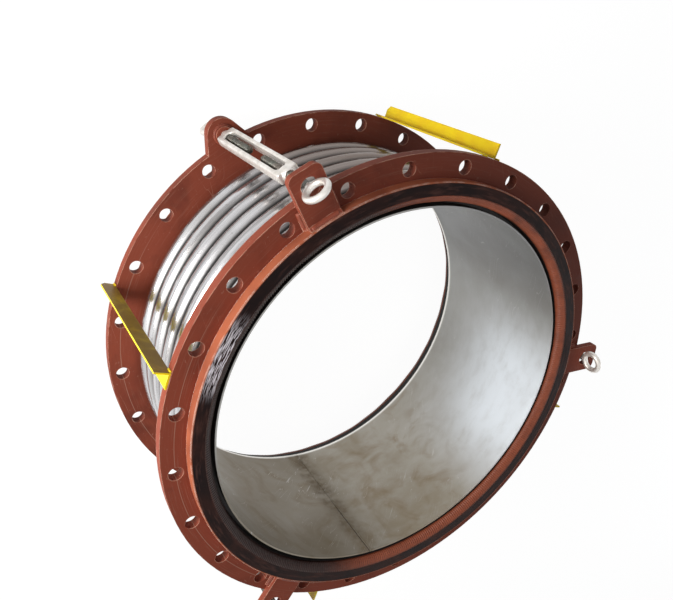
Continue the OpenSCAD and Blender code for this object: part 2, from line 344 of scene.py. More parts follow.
def pipe_marks():
    """Noise with its own fineness around the pipe, across the radius and along the axis."""
    group, t, given, results = new_group(
        "Pipe Marks", {"Value": FLOAT}, Around=4.0, Outwards=4.0, Along=400.0, Detail=4.0, Roughness=0.6
    )
    pipe = t.place(PIPE)
    around = t.node("VectorMath", operation="SCALE")
    around = t.fill(around, {0: pipe["Direction"], "Scale": given["Around"]})
    rise = t.times(pipe["Height"], given["Along"])
    reach = t.times(pipe["Radius"], given["Outwards"])
    point = t.vector("ADD", around, t.join_xyz(z=t.maths("ADD", rise, reach)))
    noise = t.noise(point, Scale=1.0, Detail=given["Detail"], Roughness=given["Roughness"])
    t.put(noise, results["Value"])
    return group


MARKS = pipe_marks()
print("group made:", MARKS.name)

# %% Group: Pipe Side


def pipe_side():
    """1 on one side of the pipe: within Reach degrees of Azimuth, with a soft edge."""
    group, t, given, results = new_group(
        "Pipe Side", {"Mask": FLOAT}, Azimuth=90.0, Reach=45.0, Softness=15.0
    )
    turn = t.maths("RADIANS", given["Azimuth"])
    centre = t.join_xyz(x=t.maths("COSINE", turn), y=t.maths("SINE", turn))
    dot = t.vector("DOT_PRODUCT", t.place(PIPE)["Direction"], centre, "Value")
    away = t.maths("DEGREES", t.maths("ARCCOSINE", dot))
    near = t.maths("SUBTRACT", given["Reach"], given["Softness"])
    far = t.maths("ADD", given["Reach"], given["Softness"])
    t.put(t.ramp(away, near, far, 1.0, 0.0), results["Mask"])
    return group


SIDE = pipe_side()
print("group made:", SIDE.name)

# %% Group: Patches


def patches():
    """Soft blotches: 0 in clean places, 1 in full ones. Cover moves the share that is full."""
    group, t, given, results = new_group(
        "Patches", {"Mask": FLOAT}, Scale=8.0, Cover=0.5, Softness=0.12, Detail=5.0, Warp=0.6
    )
    noise = t.noise(Scale=given["Scale"], Detail=given["Detail"], Distortion=given["Warp"])
    edge = t.maths("SUBTRACT", 1.0, given["Cover"])
    low = t.maths("SUBTRACT", edge, given["Softness"])
    high = t.maths("ADD", edge, given["Softness"])
    t.put(t.ramp(noise, low, high), results["Mask"])
    return group


PATCHES = patches()
print("group made:", PATCHES.name)

# %% Group: Edge Wear And Sheen
# Pale edges made with this group are partly wear and, on the primer, collar and threads, partly a
# painted highlight.
EDGE_GAIN = 9.0


def edge_wear_and_sheen():
    """Finds convex edges by comparing a rounded normal with the true one, and breaks them up."""
    group, t, given, results = new_group(
        "Edge Wear And Sheen", {"Mask": FLOAT}, Width=0.002, Amount=1.0, Breakup=60.0
    )
    rounded = t.fill(t.node("Bevel", samples=4), {"Radius": given["Width"]})
    true = t.node("NewGeometry").outputs["Normal"]
    bend = t.maths("SUBTRACT", 1.0, t.vector("DOT_PRODUCT", rounded, true, "Value"))
    broken = t.step(t.noise(Scale=given["Breakup"], Detail=4.0), 0.36, 0.62)
    torn = t.times(t.times(bend, EDGE_GAIN), broken)
    t.put(t.maths("MULTIPLY", torn, given["Amount"], clamp=True), results["Mask"])
    return group


EDGES = edge_wear_and_sheen()
print("group made:", EDGES.name)

# %% Group: Scratches
SCRATCH_AXIS = (0.3, 0.8, 0.5)


def scratches():
    """Thin broken lines: the places where a stretched noise passes through its middle value."""
    group, t, given, results = new_group(
        "Scratches", {"Mask": FLOAT}, Scale=6.0, Stretch=12.0, Turn=0.5, Width=0.01, Cover=0.4
    )
    place = t.node("TexCoord").outputs["Object"]
    inputs = {"Vector": place, "Axis": SCRATCH_AXIS, "Angle": given["Turn"]}
    turned = t.fill(t.node("VectorRotate"), inputs)
    stretched = t.vector("MULTIPLY", turned, t.join_xyz(given["Stretch"], 1.0, 1.0))
    noise = t.noise(stretched, Scale=given["Scale"], Detail=1.0)
    off = t.maths("ABSOLUTE", t.maths("SUBTRACT", noise, 0.5))
    line = t.ramp(off, 0.0, given["Width"], 1.0, 0.0, "LINEAR")
    part = t.use(PATCHES, Scale=14.0, Softness=0.06, Detail=2.0, Cover=given["Cover"])
    t.put(t.times(line, part), results["Mask"])
    return group


SCRATCHES = scratches()
print("group made:", SCRATCHES.name)

# %% [markdown]
# ## Finishes
#
# A real finish is a pile of thin layers: paint, dust, grease, wear. So the bench for a material
# gets a call that lays one coat over the last where a mask says, and each finish below reads as
# a list of what lies on the metal, from the bottom coat up.

# %% A bench for finishes


class Finish(Bench):
    """The bench of one new material."""

    def __init__(self, name):
        self.material = bpy.data.materials.new(name)
        self.material.use_nodes = True
        super().__init__(self.material.node_tree)

    def blend(self, amount, first, second, kind="RGBA"):
        """Mixes two colours by a mask or a number."""
        node = self.node("Mix", data_type="RGBA" if kind == "RGBA" else "FLOAT")
        self.put(amount, node.inputs["Factor"])
        sides = [s for s in node.inputs if s.name in ("A", "B") and s.type == kind]
        self.put(first, sides[0])
        self.put(second, sides[1])
        return [s for s in node.outputs if s.type == kind][0]

    def between(self, amount, first, second):
        """Mixes two numbers by a mask or a number."""
        return self.blend(amount, first, second, "VALUE")

    def coat(self, base, colour, mask, share=1.0):
        """Lays a colour over the base where the mask says, no stronger than the share."""
        return self.blend(mask if share == 1.0 else self.times(mask, share), base, colour)

    def bump(self, height, strength, distance, before=None):
        """A normal bent by a height, on top of the normal before it if there is one."""
        inputs = {"Height": height, "Strength": strength, "Distance": distance}
        if before is not None:
            inputs["Normal"] = before
        return self.fill(self.node("Bump"), inputs, "Normal")

    def shade(self, gloss, colour, roughness, normal, metallic=0.0):
        """Ends the material in a Principled shader. Gloss is its specular level, 0.5 if unpainted."""
        inputs = {"Specular IOR Level": gloss, "Base Color": colour, "Roughness": roughness}
        inputs.update({"Normal": normal, "Metallic": metallic})
        shader = self.fill(self.node("BsdfPrincipled"), inputs)
        self.put(shader, self.node("OutputMaterial").inputs["Surface"])
        return self.material


print("finish bench ready")

# %% [markdown]
# ### Red-brown primer
#
# The plates, lugs and ears wear one thin coat of red oxide primer. It is matt, it was brushed on
# around the rim, and hands and slings have left darker patches. Its edges are paled partly by dust
# and wear and partly by a painted highlight, and on the plates one side is darkened by painted
# shade. A thin scribed circle still shows where the bolt holes were marked out.

# %% Primer
PRIMER = (0.262, 0.060, 0.034)
PRIMER_DARK = (0.135, 0.033, 0.021)
PRIMER_PALE_WEAR_AND_SHEEN = (0.70, 0.40, 0.29)
PRIMER_SHADED_SIDE = (0.070, 0.020, 0.013)
DUST = (0.55, 0.37, 0.28)


def primer_paint(name, scribed=False):
    t = Finish(name)
    dark = t.use(PATCHES, Scale=5.0, Cover=0.40, Softness=0.16, Warp=0.8)
    smudge = t.use(PATCHES, Scale=26.0, Cover=0.34, Softness=0.10, Detail=8.0)
    brush = t.use(MARKS, Around=6.0, Outwards=330.0, Along=330.0, Detail=3.0)
    edge = t.use(EDGES, Width=0.0026, Amount=0.6, Breakup=42.0)
    speck = t.use(PATCHES, Scale=170.0, Cover=0.28, Softness=0.04, Detail=2.0)
    scrape = t.use(SCRATCHES, Scale=5.0, Stretch=9.0, Width=0.006, Cover=0.40)
    base = t.blend(dark, PRIMER, PRIMER_DARK)
    base = t.coat(base, PRIMER_DARK, smudge, 0.35)
    base = t.coat(base, DUST, t.step(brush, 0.52, 0.80), 0.13)
    base = t.coat(base, DUST, speck, 0.22)
    base = t.coat(base, PRIMER_PALE_WEAR_AND_SHEEN, scrape, 0.30)
    if scribed:
        # Painted shade: the plate is darkened on the side away from the daylight.
        shaded_side = t.use(SIDE, Azimuth=15.0, Reach=58.0, Softness=38.0)
        base = t.coat(base, PRIMER_SHADED_SIDE, shaded_side, 0.55)
        off = t.maths("SUBTRACT", t.place(PIPE)["Radius"], BOLT_CIRCLE_R)
        line = t.step(t.maths("ABSOLUTE", off), 0.9 * MM, 0.4 * MM)
        shown = t.times(line, t.use(SIDE, Azimuth=172.0, Reach=50.0, Softness=12.0))
        base = t.coat(base, DUST, shown, 0.4)
    # Pale edges: partly dust and wear, partly a painted highlight where the edges catch the light.
    base = t.coat(base, PRIMER_PALE_WEAR_AND_SHEEN, edge)
    normal = t.bump(t.noise(Scale=320.0, Detail=4.0), 0.22, 0.8 * MM)
    normal = t.bump(brush, 0.16, 0.8 * MM, normal)
    return t.shade(0.14, base, t.between(smudge, 0.64, 0.50), normal)


primer_mat = primer_paint("red_primer")
plate_mat = primer_paint("scribed_primer", scribed=True)
print("finishes made:", primer_mat.name, plate_mat.name)

# %% [markdown]
# ### Collar: painted wall, oiled turned face
#
# The collar's outer wall has the primer on it, but its face is the sealing face: turned on a
# lathe, left bare and coated with dark grease. The lathe leaves a fine spiral; the short bright
# dashes where it would catch the light on one side are a painted highlight, and the wall's pale
# edge is partly wear and partly a painted highlight. One material does both, by asking how far
# from the axis the point lies.

# %% Collar
GREASE = (0.010, 0.005, 0.005)
GREASE_WIPED = (0.075, 0.036, 0.030)
GREASE_RUSTY = (0.060, 0.020, 0.014)
PAINTED_GLINT_STEEL = (0.86, 0.80, 0.86)
WALL_RED = (0.45, 0.135, 0.068)
WALL_BROWN = (0.30, 0.085, 0.046)
WALL_EDGE_WEAR_AND_SHEEN = (0.85, 0.74, 0.66)


def collar_finish():
    t = Finish("collar_steel")
    greased = t.step(t.place(PIPE)["Radius"], COLLAR_R - 2.2 * MM, COLLAR_R - 4.0 * MM)
    grooves = t.use(MARKS, Around=3.5, Outwards=1500.0, Along=0.0, Detail=2.0)
    smear = t.use(MARKS, Around=9.0, Outwards=110.0, Along=0.0, Detail=6.0)
    blot = t.use(PATCHES, Scale=13.0, Cover=0.46, Softness=0.2)
    edge = t.use(EDGES, Width=0.0018, Amount=1.0, Breakup=45.0)
    # Pale wall edge: partly wear, partly a painted highlight.
    wall = t.coat(t.blend(blot, WALL_RED, WALL_BROWN), WALL_EDGE_WEAR_AND_SHEEN, edge)
    wiped = t.step(smear, 0.46, 0.72)
    oil = t.coat(t.blend(wiped, GREASE, GREASE_WIPED), GREASE_RUSTY, blot, 0.4)
    # Painted highlight: bright dashes on the grooves, only on the side where the lamp's glint falls.
    glint_side = t.use(SIDE, Azimuth=127.0, Reach=8.0, Softness=4.0)
    dash = t.use(MARKS, Around=22.0, Outwards=620.0, Along=0.0, Detail=1.0)
    painted_glint = t.times(t.times(t.step(dash, 0.46, 0.54), glint_side), greased)
    oil = t.coat(oil, PAINTED_GLINT_STEEL, painted_glint)
    normal = t.bump(t.times(grooves, greased), 0.4, 1.0 * MM)
    normal = t.bump(smear, 0.15, 1.0 * MM, normal)
    rough = t.between(greased, 0.6, t.between(wiped, 0.42, 0.60))
    return t.shade(0.07, t.blend(greased, wall, oil), rough, normal)


collar_mat = collar_finish()
print("finish made:", collar_mat.name)

# %% [markdown]
# ### Weld metal
#
# The ring beads were brushed over with primer. On one side they are buried under black grease,
# on the other the ripples show brown. The beads on the lugs are simply painted.

# %% Weld metal
BEAD_BROWN = (0.30, 0.078, 0.038)
BEAD_DARK = (0.14, 0.035, 0.020)


def weld_metal(name, crest, valley, grime, greasy_side):
    t = Finish(name)
    soot = t.use(PATCHES, Scale=11.0, Cover=grime, Softness=0.2, Detail=6.0)
    fine = t.use(PATCHES, Scale=60.0, Cover=0.4, Softness=0.25, Detail=4.0)
    black = t.times(soot, 0.75)
    if greasy_side:
        side = t.use(SIDE, Azimuth=150.0, Reach=78.0, Softness=10.0)
        black = t.maths("MAXIMUM", black, t.times(side, 0.94))
    edge = t.use(EDGES, Width=0.0015, Amount=0.3, Breakup=90.0)
    base = t.coat(crest, valley, fine, 0.5)
    base = t.coat(base, GREASE, black)
    # Pale edges on the bead: partly wear, partly a painted highlight.
    base = t.coat(base, PRIMER_PALE_WEAR_AND_SHEEN, edge)
    normal = t.bump(t.noise(Scale=260.0, Detail=4.0), 0.12, 1.0 * MM)
    return t.shade(0.24, base, t.between(black, 0.40, 0.36), normal)


bead_mat = weld_metal("greasy_weld", BEAD_BROWN, BEAD_DARK, 0.32, True)
painted_weld_mat = weld_metal("painted_weld", PRIMER, PRIMER_DARK, 0.22, False)
print("weld finishes made")

# %% [markdown]
# ### Rolled stainless sheet
#
# Sheet that went through rollers has a fine grain along the direction of rolling. On the bellows
# that grain runs around the pipe. Its dark roll lines are partly grain and partly painted
# reflection, the valleys between the folds are painted dark as shade, and one side is painted
# brown as a dark reflection. The liner was rolled too, and shows clouds of faint tint, long
# scratches and the brown stain of its seam.

# %% Bellows steel
GRAIN_DARK = (0.50, 0.50, 0.52)
GRAIN_LIGHT = (0.88, 0.88, 0.90)
ROLL_LINE_AND_REFLECTION = (0.17, 0.165, 0.165)
PAINTED_DARK_REFLECTION = (0.155, 0.105, 0.080)
FAINT_TINT = (0.27, 0.24, 0.21)
BROWN_SPOT = (0.14, 0.10, 0.08)
VALLEY_PAINTED_SHADE = (0.022, 0.019, 0.018)


def bellows_finish():
    t = Finish("bellows_steel")
    grain = t.use(MARKS, Around=2.2, Outwards=900.0, Along=900.0, Detail=3.0)
    clouds = t.use(PATCHES, Scale=6.0, Cover=0.45, Softness=0.25)
    speck = t.use(PATCHES, Scale=60.0, Cover=0.32, Softness=0.08, Detail=6.0)
    roll = t.use(MARKS, Around=1.3, Outwards=190.0, Along=190.0, Detail=4.0)
    # Painted reflection: one side of the bellows is darkened brown, standing in for the dark
    # surroundings it would mirror.
    dark_reflection_side = t.use(SIDE, Azimuth=62.0, Reach=26.0, Softness=14.0)
    deep = t.step(t.place(PIPE)["Radius"], CREST_R - 3.0 * MM, CREST_R - 14.0 * MM)
    base = t.blend(grain, GRAIN_DARK, GRAIN_LIGHT)
    # Dark roll lines along the grain: partly grain, partly painted reflection.
    base = t.coat(base, ROLL_LINE_AND_REFLECTION, t.step(roll, 0.42, 0.66), 0.55)
    base = t.coat(base, PAINTED_DARK_REFLECTION, dark_reflection_side, 0.80)
    base = t.coat(base, FAINT_TINT, clouds, 0.35)
    base = t.coat(base, BROWN_SPOT, speck, 0.3)
    # Painted shade: the valleys between the folds are painted near black.
    base = t.coat(base, VALLEY_PAINTED_SHADE, deep)
    rough = t.between(deep, t.between(grain, 0.26, 0.14), 0.60)
    normal = t.bump(grain, 0.12, 0.6 * MM)
    normal = t.bump(clouds, 0.06, 3.0 * MM, normal)
    return t.shade(0.5, base, rough, normal, t.between(deep, 0.88, 0.30))


bellows_mat = bellows_finish()
print("finish made:", bellows_mat.name)

# %% [markdown]
# The liner is seen from within, so its finish is laid out around the pipe: warm and stained at
# the bottom, where water stood, and cool and cloudy above. Painted shade darkens it olive on one
# side and bluish on another, and a painted highlight stands for the daylight that falls in on a
# third. The seam has a ragged brown halo of heat. A painted highlight makes the last millimetres
# at the rear bright, and the outer skin, which hardly shows, is painted black as shade.

# %% Liner steel
SHEET_WARM = (0.335, 0.288, 0.215)
SHEET_GREY = (0.455, 0.430, 0.380)
SHEET_WIPED = (0.57, 0.56, 0.54)
PAINTED_DAYLIGHT_SHEEN = (0.90, 0.95, 1.0)
SHEET_EDGE_HIGHLIGHT = (0.95, 0.93, 0.88)
STAIN_BROWN = (0.25, 0.180, 0.100)
COOL_VEIL = (0.36, 0.385, 0.41)
OLIVE_PAINTED_SHADE = (0.150, 0.120, 0.080)
BLUE_PAINTED_SHADE = (0.15, 0.155, 0.165)
HEAT_BROWN = (0.20, 0.145, 0.080)
SEAM_BLACK = (0.030, 0.022, 0.018)
SCRATCH_GREY = (0.80, 0.80, 0.80)
OUTER_PAINTED_SHADE = (0.030, 0.024, 0.021)


def seam_marks(t, height):
    """The brown halo of the liner's seam, and the thin dark line beside its bead."""
    band = t.use(SIDE, Azimuth=SEAM_DEG - 0.6, Reach=3.2, Softness=2.6)
    torn = t.step(t.use(MARKS, Around=9.0, Outwards=0.0, Along=40.0, Detail=5.0), 0.30, 0.55)
    fleck = t.use(PATCHES, Scale=95.0, Cover=0.5, Softness=0.10, Detail=4.0)
    halo = t.times(t.times(band, torn), t.between(fleck, 0.55, 1.15))
    line = t.use(SIDE, Azimuth=SEAM_DEG - 0.5, Reach=0.16, Softness=0.08)
    return halo, t.times(line, t.step(height, 0.20, 0.30))


def liner_finish():
    t = Finish("liner_steel")
    pipe = t.place(PIPE)
    radius, height = pipe["Radius"], pipe["Height"]
    grain = t.use(MARKS, Around=320.0, Outwards=0.0, Along=5.0, Detail=3.0)
    wipe = t.use(MARKS, Around=7.0, Outwards=0.0, Along=34.0, Detail=7.0)
    clouds = t.use(PATCHES, Scale=6.0, Cover=0.5, Softness=0.3, Detail=6.0)
    stain = t.use(PATCHES, Scale=11.0, Cover=0.40, Softness=0.16, Detail=7.0, Warp=1.4)
    scratch = t.use(SCRATCHES, Scale=7.0, Stretch=11.0, Turn=0.9, Width=0.006, Cover=0.45)
    warm = t.use(SIDE, Azimuth=238.0, Reach=58.0, Softness=26.0)
    # Painted shade: olive on the side where little light reaches.
    olive_shade_side = t.use(SIDE, Azimuth=200.0, Reach=42.0, Softness=14.0)
    # Painted shade: bluish darkening where the rim blocks the light.
    blue_shade_side = t.use(SIDE, Azimuth=28.0, Reach=38.0, Softness=20.0)
    # Painted highlight: a bluish-white patch where daylight is reflected.
    bright = t.use(SIDE, Azimuth=312.0, Reach=24.0, Softness=17.0)
    halo, line = seam_marks(t, height)
    base = t.blend(clouds, SHEET_WARM, SHEET_GREY)
    base = t.coat(base, SHEET_WIPED, t.step(wipe, 0.4, 0.7), 0.2)
    base = t.coat(base, STAIN_BROWN, t.times(stain, warm), 0.75)
    base = t.coat(base, COOL_VEIL, t.maths("SUBTRACT", 1.0, warm), 0.45)
    base = t.coat(base, OLIVE_PAINTED_SHADE, olive_shade_side, 0.6)
    base = t.coat(base, BLUE_PAINTED_SHADE, blue_shade_side, 0.6)
    # Painted highlight of the daylight reflection, fading towards the rear.
    painted_shine = t.times(bright, t.step(height, 0.04, 0.34))
    painted_shine = t.times(painted_shine, t.between(t.step(wipe, 0.10, 0.60), 0.62, 1.0))
    base = t.coat(base, PAINTED_DAYLIGHT_SHEEN, painted_shine)
    base = t.coat(base, HEAT_BROWN, halo, 0.6)
    base = t.coat(base, SEAM_BLACK, line, 0.8)
    base = t.coat(base, SCRATCH_GREY, scratch, 0.35)
    # Painted highlight: the last millimetres at the rear edge are painted bright.
    base = t.coat(base, SHEET_EDGE_HIGHLIGHT, t.step(height, LINER_REAR + 10.0 * MM, LINER_REAR + 4.0 * MM))
    # Painted shade: the outer skin inside the bellows is painted black.
    outer = t.step(radius, LINER_R + 1.2 * MM, LINER_R + 2.8 * MM)
    shaded_outer = t.times(outer, t.step(height, LINER_FRONT - 1.0 * MM, LINER_FRONT - 3.0 * MM))
    base = t.coat(base, OUTER_PAINTED_SHADE, shaded_outer)
    metallic = t.between(halo, t.between(shaded_outer, 0.72, 0.1), 0.4)
    rough = t.between(halo, t.between(clouds, 0.52, 0.40), 0.6)
    normal = t.bump(grain, 0.1, 0.6 * MM)
    normal = t.bump(clouds, 0.05, 4.0 * MM, normal)
    return t.shade(0.4, base, rough, normal, metallic)


liner_mat = liner_finish()
print("finish made:", liner_mat.name)

# %% [markdown]
# ### Zinc and yellow paint
#
# The turnbuckles and eye bolts are bright zinc that has dulled in patches; their threads are
# packed with grease, and their pale thread crests are partly a painted highlight. The shipping
# bars got a quick coat of yellow, thin enough at the edges to let the steel through, and the side
# that faces round the pipe is painted dark brown as shade.

# %% Zinc
ZINC = (0.88, 0.85, 0.81)
ZINC_DULL = (0.66, 0.62, 0.57)
THREAD_GREY = (0.110, 0.115, 0.095)
THREAD_DARK = (0.045, 0.047, 0.038)
GRIME = (0.13, 0.10, 0.08)
ZINC_EDGE_AND_CREST_SHEEN = (0.85, 0.84, 0.82)


def zinc_finish(name, clean, dull_colour, grime_cover, edge_amount):
    t = Finish(name)
    dull = t.use(PATCHES, Scale=45.0, Cover=0.5, Softness=0.2, Detail=5.0)
    grime = t.use(PATCHES, Scale=28.0, Cover=grime_cover, Softness=0.1, Detail=8.0)
    edge = t.use(EDGES, Width=0.0015, Amount=edge_amount, Breakup=120.0)
    base = t.blend(dull, clean, dull_colour)
    base = t.coat(base, GRIME, grime, 0.7)
    # Pale edges: wear on the zinc; on the dark threads, a painted highlight along the crests.
    base = t.coat(base, ZINC_EDGE_AND_CREST_SHEEN, edge)
    normal = t.bump(t.noise(Scale=240.0, Detail=4.0), 0.14, 0.8 * MM)
    return t.shade(0.5, base, t.between(dull, 0.34, 0.50), normal, t.between(grime, 0.70, 0.30))


zinc_mat = zinc_finish("bright_zinc", ZINC, ZINC_DULL, 0.22, 0.7)
thread_mat = zinc_finish("greasy_thread", THREAD_GREY, THREAD_DARK, 0.50, 0.12)
print("finishes made:", zinc_mat.name, thread_mat.name)

# %% Yellow paint
YELLOW = (1.0, 0.76, 0.005)
YELLOW_THIN = (0.94, 0.62, 0.005)
YELLOW_PAINTED_SHADE = (0.16, 0.075, 0.028)
YELLOW_DIRTY = (0.34, 0.19, 0.04)
YELLOW_EDGE = (0.50, 0.38, 0.16)
UP = (0, 0, 1)


def yellow_finish():
    t = Finish("yellow_paint")
    thin = t.use(PATCHES, Scale=16.0, Cover=0.45, Softness=0.2, Detail=6.0)
    dirt = t.use(PATCHES, Scale=55.0, Cover=0.26, Softness=0.06, Detail=8.0, Warp=1.2)
    shade_patches = t.use(PATCHES, Scale=30.0, Cover=0.62, Softness=0.25, Detail=6.0)
    edge = t.use(EDGES, Width=0.0014, Amount=0.6, Breakup=70.0)
    # Painted shade: faces turned round the pipe are painted dark brown, in patches.
    round_pipe = t.vector("CROSS_PRODUCT", t.place(PIPE)["Direction"], UP)
    true = t.node("NewGeometry").outputs["Normal"]
    facing = t.vector("DOT_PRODUCT", round_pipe, true, "Value")
    shaded_face = t.times(t.step(facing, 0.80, 0.95), t.between(shade_patches, 0.55, 0.85))
    base = t.blend(thin, YELLOW, YELLOW_THIN)
    base = t.coat(base, YELLOW_PAINTED_SHADE, shaded_face)
    base = t.coat(base, YELLOW_DIRTY, dirt, 0.45)
    base = t.coat(base, YELLOW_EDGE, edge)
    normal = t.bump(t.noise(Scale=180.0, Detail=4.0), 0.2, 0.8 * MM)
    return t.shade(0.25, base, t.between(dirt, 0.42, 0.65), normal)


yellow_mat = yellow_finish()
print("finish made:", yellow_mat.name)

# %% [markdown]
# ### Dressing the hard parts
#
# Each hard part came in as a mesh of its own. A mesh keeps its materials in a list, so a part
# is dressed by emptying that list and putting one finish on it.

# %% Give the hard parts their finishes


def dress(material, names):
    for name in names:
        mesh = NODES[name].data
        mesh.materials.clear()
        mesh.materials.append(material)
    print(material.name, "on", len(names), "parts")


def numbered(prefix, numbers=THREE):
    """The names of parts that differ only in their number."""
    return ["%s_%d" % (prefix, i) for i in numbers]


dress(plate_mat, ["rear_flange", "front_flange"])
dress(primer_mat, numbered("front_lug") + numbered("rear_bush"))
dress(collar_mat, ["front_collar", "rear_collar"])
dress(bead_mat, ["front_weld_bead", "rear_weld_bead"])
dress(bellows_mat, ["bellows"])
dress(liner_mat, ["liner", "liner_ring"])
dress(zinc_mat, numbered("turnbuckle_body") + numbered("front_eye_bolt") + numbered("rear_eye_bolt"))
dress(yellow_mat, numbered("shipping_bar", FOUR))

# %% [markdown]
# ## Small pieces
#
# Four helpers build them all. One makes a mesh and fixes it to a moving body, one makes the
# quads of a grid of points, one turns faces over, and one places a point by how far it lies
# across, outwards and along at a given angle around the pipe.

# %% Helpers for mesh pieces


def mesh_piece(name, points, faces, material, body, greasy=()):
    """A smooth mesh riding a body. The faces numbered in greasy get the dark finish."""
    mesh = bpy.data.meshes.new(name)
    mesh.from_pydata(points, [], faces)
    mesh.materials.append(material)
    if greasy:
        mesh.materials.append(thread_mat)
        for number in greasy:
            mesh.polygons[number].material_index = 1
    mesh.validate()
    mesh.shade_smooth()
    piece = add_object(name, mesh)
    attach(piece, body)
    return piece


def flipped(faces):
    """The same faces, looking the other way."""
    return [tuple(reversed(face)) for face in faces]


def grid_faces(rows, columns, wrap_rows=True):
    """Quads between neighbouring rings of points. The rings may close on themselves."""
    faces = []
    for i in range(rows if wrap_rows else rows - 1):
        near, far = i * columns, (i + 1) % rows * columns
        for j in range(columns):
            k = (j + 1) % columns
            faces.append((near + j, near + k, far + k, far + j))
    return faces


def spot(angle_deg, across, outwards, along):
    """A point's x, y and z from how it lies at an angle around the pipe."""
    turn = math.radians(angle_deg - 90.0)
    x = across * math.cos(turn) - outwards * math.sin(turn)
    y = across * math.sin(turn) + outwards * math.cos(turn)
    return (x, y, along)


print("mesh helpers ready")

# %% [markdown]
# ### Ring beads
#
# A hand-laid bead is a row of overlapping crescents. The ring bead in each collar's bevel is
# built as a grid: a bulged profile is swung around the pipe, and its bulge swells and sinks once
# for every crescent, a little later in the middle than at its edges, which draws the chevrons.

# %% Ring beads in the collar bevels
BEAD_FOOT = (NECK_IN_R, 5.9 * MM)
BEAD_CROWN = (BEVEL_TOP_R, 25.0 * MM)
BEAD_BACK = ((NECK_OUT_R, 7.4 * MM), (NECK_OUT_R, 5.9 * MM))
BEAD_BULGE = 4.0 * MM
BEAD_RIPPLE = 0.8 * MM
CRESCENTS = 520
CRESCENT_LAG = 1.5
ROWS_EACH = 6
PROFILE_POINTS = 8
HAND_WANDER = ((0.6 * MM, 9, 1.0), (0.4 * MM, 31, 0.0))


def ring_bead(name, plate_z, outward):
    """A bead on one plate. Its corners are given as (radius, height above the plate)."""
    rows = CRESCENTS * ROWS_EACH
    dr, dz = BEAD_CROWN[0] - BEAD_FOOT[0], BEAD_CROWN[1] - BEAD_FOOT[1]
    long = math.hypot(dr, dz)
    points = []
    for i in range(rows):
        angle = 2 * math.pi * i / rows
        wander = sum(size * math.sin(waves * angle + start) for size, waves, start in HAND_WANDER)
        profile = []
        for j in range(PROFILE_POINTS):
            s = j / (PROFILE_POINTS - 1)
            arch = math.sin(math.pi * s)
            ripple = BEAD_RIPPLE * math.sin(CRESCENTS * angle - CRESCENT_LAG * arch)
            bulge = (BEAD_BULGE + wander + ripple) * arch
            r = BEAD_FOOT[0] + dr * s - bulge * dz / long
            z = BEAD_FOOT[1] + dz * s + bulge * dr / long
            profile.append((r, z))
        for r, z in (*profile, *BEAD_BACK):
            points.append((r * math.cos(angle), r * math.sin(angle), plate_z + outward * z))
    faces = grid_faces(rows, PROFILE_POINTS + len(BEAD_BACK))
    if outward < 0:
        faces = flipped(faces)
    return mesh_piece(name, points, faces, bead_mat, "joint_frame")


front_bead = ring_bead("front_bead_rippled", PLATE_FRONT, 1)
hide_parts("front_weld_bead")
rear_bead = ring_bead("rear_bead_rippled", 0.0, -1)
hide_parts("rear_weld_bead")
print("ring beads:", len(front_bead.data.polygons), "faces each")

# %% [markdown]
# ### Short weld runs
#
# The lugs, bushes, bars and the liner's seam have short runs. One helper lays such a run along
# any path: a flattened tube whose skin rises and falls once per crescent and tapers at its ends.

# %% A helper for weld runs
RUN_COLUMNS = 10
RUN_LAG = 1.6
TAPER_ROWS = 5.0
BLUNT_END = 0.03
UNDERSIDE = 0.35


def tube_faces(rows, columns, closed=False):
    """The faces of a tube of rings, capped at both ends unless it closes on itself."""
    faces = flipped(grid_faces(rows, columns, wrap_rows=closed))
    if not closed:
        faces.append(tuple(range(columns)))
        faces.append(tuple(reversed(range((rows - 1) * columns, rows * columns))))
    return faces


def weld_run(path, normals, width, height, pitch, closed=False, ripple=0.16):
    """Points and faces of a bead along a path. The normals say which way it bulges."""
    rows = len(path)
    path = [Vector(place) for place in path]
    points = []
    travelled = 0.0
    for i, here in enumerate(path):
        ahead = path[(i + 1) % rows] if closed else path[min(i + 1, rows - 1)]
        behind = path[i - 1] if closed else path[max(i - 1, 0)]
        up = Vector(normals[i])
        side = (ahead - behind).normalized().cross(up).normalized()
        if i:
            travelled += (here - path[i - 1]).length
        reach = min(i, rows - 1 - i) / TAPER_ROWS
        taper = 1.0 if closed else math.sqrt(min(1.0, BLUNT_END + reach))
        for j in range(RUN_COLUMNS):
            a = 2 * math.pi * j / RUN_COLUMNS
            lift = max(0.0, math.sin(a))
            wave = 1.0 + ripple * lift * math.sin(2 * math.pi * travelled / pitch - RUN_LAG * lift)
            flat = side * (math.cos(a) * width * 0.5 * taper)
            rise = up * (math.sin(a) * height * taper * (wave if lift else UNDERSIDE))
            points.append(tuple(here + flat + rise))
    return points, tube_faces(rows, RUN_COLUMNS, closed)


def join_runs(runs):
    """Several runs as one mesh: the faces are renumbered as the points pile up."""
    points, faces = [], []
    for run_points, run_faces in runs:
        start = len(points)
        points.extend(run_points)
        faces.extend(tuple(start + k for k in face) for face in run_faces)
    return points, faces


def spaced(first, last, count):
    """Evenly spaced numbers, with both ends."""
    return [first + (last - first) * k / (count - 1) for k in range(count)]


def leaning(angle_deg, across, outwards, along):
    """The unit vector that leans by these shares at an angle around the pipe."""
    return Vector(spot(angle_deg, across, outwards, along)).normalized()


print("weld run helper ready")

